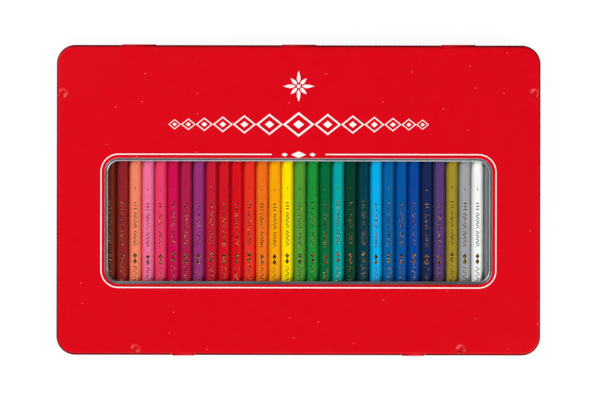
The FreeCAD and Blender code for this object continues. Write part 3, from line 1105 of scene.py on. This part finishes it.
def stripe_mesh(context):
    """Line round the window, open in the middle of its back run."""
    line, tin, at = context.scene.print_sizes, context.scene.tin_sizes, sizes()
    low, high = print_levels(context)
    gap = line.stripe_gap / 2
    middle = (0.0, at.window_y + line.stripe_shift)
    outline = Outline(at.window_length, at.window_depth, tin.window_corner, middle, {"back": (-gap, gap)})
    near, far = line.stripe_out, line.stripe_out + line.stripe_width
    mesh = bmesh.new()
    rows = carried(mesh, outline, [(near, low), (near, high), (far, high), (far, low)])
    opening = columns_between(rows[0], 1, 0.0, gap)
    for end in (opening[0], opening[-1] + 1):
        fill(mesh, [row[end] for row in rows], 0)
    rows.append(rows[0])
    skin(mesh, rows, [0] * 4, leave=lambda _, n: n in opening, flat=lambda *_: True)
    return mesh


def ornament_mesh(context):
    """Rosette, graduated row of open lozenges, and three small lozenges in the line's gap."""
    line, at = context.scene.print_sizes, sizes()
    low, high = print_levels(context)
    mesh = bmesh.new()
    shares = [FRIEZE_SHRINK**n for n in range(1, FRIEZE_STEPS + 1)]
    wide = line.frieze_length / (2 * sum(shares) + 1)
    ratio = line.frieze_height / wide
    centre, places = 0.0, [(0.0, wide)]
    for share in shares:
        grown = places[0][1] * share
        centre += (wide + grown) / 2
        wide = grown
        places += [(centre, wide), (-centre, wide)]
    for x, width in places:
        middle = Vector((x, line.frieze_y))
        outer = [Vector(c) for c in lozenge(0.0, 0.0, width, width * ratio)]
        prism(mesh, [middle + c * FRIEZE_HEART for c in outer], low, high)
        for n, ahead in neighbours(len(outer)):
            a, b = outer[n], outer[ahead]
            prism(mesh, [middle + c for c in (a, b, b * FRIEZE_HOLE, a * FRIEZE_HOLE)], low, high)
    size, middle = line.rosette_size / 2, Vector((0.0, line.rosette_y))
    for n in range(PETALS):
        turn = Matrix.Rotation(2 * math.pi * n / PETALS, 2)
        long = SHORT_PETAL if n % 2 else 1.0
        prism(mesh, [middle + turn @ Vector((px, py * long)) * size for px, py in PETAL], low, high)
    prism(mesh, [middle + p for p in circle(DISC * size, DISC_SIDES)], low, high)
    stripe_y = at.window_y + at.window_depth / 2 + line.stripe_out + line.stripe_width / 2
    for x, width, tall in GAP_LOZENGES:
        prism(mesh, lozenge(x * MM, stripe_y, width * MM, tall * MM), low, high)
    return mesh


class PENCILBOX_OT_print(bpy.types.Operator):
    """White print on the lid: the line round the window, rows of lozenges and a rosette"""

    bl_idname = "pencil_box.print"
    bl_label = "Lid print"

    def execute(self, context):
        colour = context.scene.finishes.print_white
        white = lacquer("white_print", colour, PRINT_GLOSS, mottle=0.02, peel=TIN_PEEL)
        finished("lid_stripe", stripe_mesh(context), [white], "lid")
        finished("lid_ornament", ornament_mesh(context), [white], "lid")
        return {"FINISHED"}


# Stage

# Name, place, width, height and power of the soft boxes
SOFT_BOXES = (
    ("left_box", (-1.05, 0.77, 1.07), 1.3, 1.1, 20.3),
    ("right_box", (1.05, -0.77, 1.07), 1.3, 1.1, 16.9),
    ("front_box", (0.2, -1.3, 1.1), 0.75, 0.6, 2.5),
)
FLOOR_HALF, FLOOR_GLOW = 9.0, 0.86
# Heights between which the dome darkens to its top, and its strength in front and behind
DOME_RISE, DOME_SIDE, DOME_TOP = (0.6, 0.92), 0.26, 0.02
DOME_TURN, DOME_FRONT, DOME_BACK = (-0.7, 0.5), 3.6, 0.3
CAMERA_DISTANCE = 1.5
CAMERA_X, CAMERA_Y, CAMERA_TURN = 0.92 * MM, 0.11 * MM, math.radians(0.1)
PICTURE_WIDTH = 361.4 * MM


def add_floor(scene):
    """Wide plain floor, white in the picture but dim in the tin's reflections."""
    mesh = bmesh.new()
    bmesh.ops.create_grid(mesh, x_segments=2, y_segments=2, size=FLOOR_HALF)
    data = bpy.data.meshes.new("floor")
    mesh.to_mesh(data)
    mesh.free()
    material, tree, inputs = new_material(
        "pale_floor", Roughness=0.9, Specular_IOR_Level=0.1, Emission_Strength=FLOOR_GLOW
    )
    inputs["Base Color"].default_value = (*scene.finishes.floor_grey, 1.0)
    tree.links.new(node(tree, "LightPath").outputs["Is Camera Ray"], inputs["Emission Color"])
    data.materials.append(material)
    floor = linked("floor", data)


def add_world(scene):
    """Soft light from all round, brighter in front, with the sky over the tin left dark."""
    world = bpy.data.worlds.new("soft_dome")
    scene.world = world
    world.use_nodes = True
    tree = world.node_tree
    direction = node(tree, "TexCoord").outputs["Generated"]
    parts = node(tree, "SeparateXYZ", Vector=direction).outputs
    ring = spread(tree, parts["Z"], *DOME_RISE, DOME_SIDE, DOME_TOP)
    front = spread(tree, parts["Y"], *DOME_TURN, DOME_FRONT, DOME_BACK)
    background = tree.nodes["Background"]
    tree.links.new(math_node(tree, "MULTIPLY", ring, front), background.inputs["Strength"])
    background.inputs["Color"].default_value = (1.0, 1.0, 1.0, 1.0)


def add_lights():
    """Soft boxes at the back left and front right, and a weaker one in front."""
    for name, place, wide, tall, power in SOFT_BOXES:
        data = bpy.data.lights.new(name, "AREA")
        data.energy = power
        data.shape = "RECTANGLE"
        data.size, data.size_y = wide, tall
        lamp = linked(name, data)
        lamp.location = place
        lamp.rotation_euler = (-Vector(place)).to_track_quat("-Z", "Y").to_euler()


def add_camera(scene):
    """Camera straight over the tin, at the photograph's scale."""
    data = bpy.data.cameras.new("camera")
    data.lens = data.sensor_width * CAMERA_DISTANCE / PICTURE_WIDTH
    data.clip_start, data.clip_end = 0.05, 50.0
    camera = linked("camera", data)
    camera.location = (CAMERA_X, CAMERA_Y, sizes().top + CAMERA_DISTANCE)
    camera.rotation_euler.z = CAMERA_TURN
    scene.camera = camera


class PENCILBOX_OT_stage(bpy.types.Operator):
    """Pale floor, soft light and the camera over the tin"""

    bl_idname = "pencil_box.stage"
    bl_label = "Stage"

    def execute(self, context):
        scene = context.scene
        scene.view_settings.view_transform = "Standard"
        add_floor(scene)
        add_world(scene)
        add_lights()
        add_camera(scene)
        return {"FINISHED"}


# Sidebar and registration


class PENCILBOX_PT_sidebar(bpy.types.Panel):
    """Pieces and sizes of the pencil box"""

    bl_idname = "PENCILBOX_PT_sidebar"
    bl_label = "Pencil Box"
    bl_space_type = "VIEW_3D"
    bl_region_type = "UI"
    bl_category = "Pencil Box"

    def draw(self, context):
        for operator in OPERATORS:
            self.layout.operator(operator.bl_idname)
        for name in GROUPS:
            box = self.layout.box()
            group = getattr(context.scene, name)
            for key in group.bl_rna.properties.keys():
                if key not in ("rna_type", "name"):
                    box.prop(group, key)


GROUPS = {
    "tin_sizes": TinSizes,
    "pencil_sizes": PencilSizes,
    "print_sizes": PrintSizes,
    "finishes": Finishes,
}
OPERATORS = (
    PENCILBOX_OT_base,
    PENCILBOX_OT_tray,
    PENCILBOX_OT_pencils,
    PENCILBOX_OT_cores,
    PENCILBOX_OT_foil,
    PENCILBOX_OT_lid,
    PENCILBOX_OT_pane,
    PENCILBOX_OT_print,
    PENCILBOX_OT_stage,
)
CLASSES = (*GROUPS.values(), *OPERATORS, PENCILBOX_PT_sidebar)


def register():
    for cls in CLASSES:
        bpy.utils.register_class(cls)
    for name, cls in GROUPS.items():
        setattr(bpy.types.Scene, name, bpy.props.PointerProperty(type=cls))


def unregister():
    for name in GROUPS:
        delattr(bpy.types.Scene, name)
    for cls in reversed(CLASSES):
        bpy.utils.unregister_class(cls)


def main():
    """Build every piece."""
    register()
    for operator in OPERATORS:
        group, name = operator.bl_idname.split(".")
        getattr(getattr(bpy.ops, group), name)()


if __name__ == "__main__":
    main()
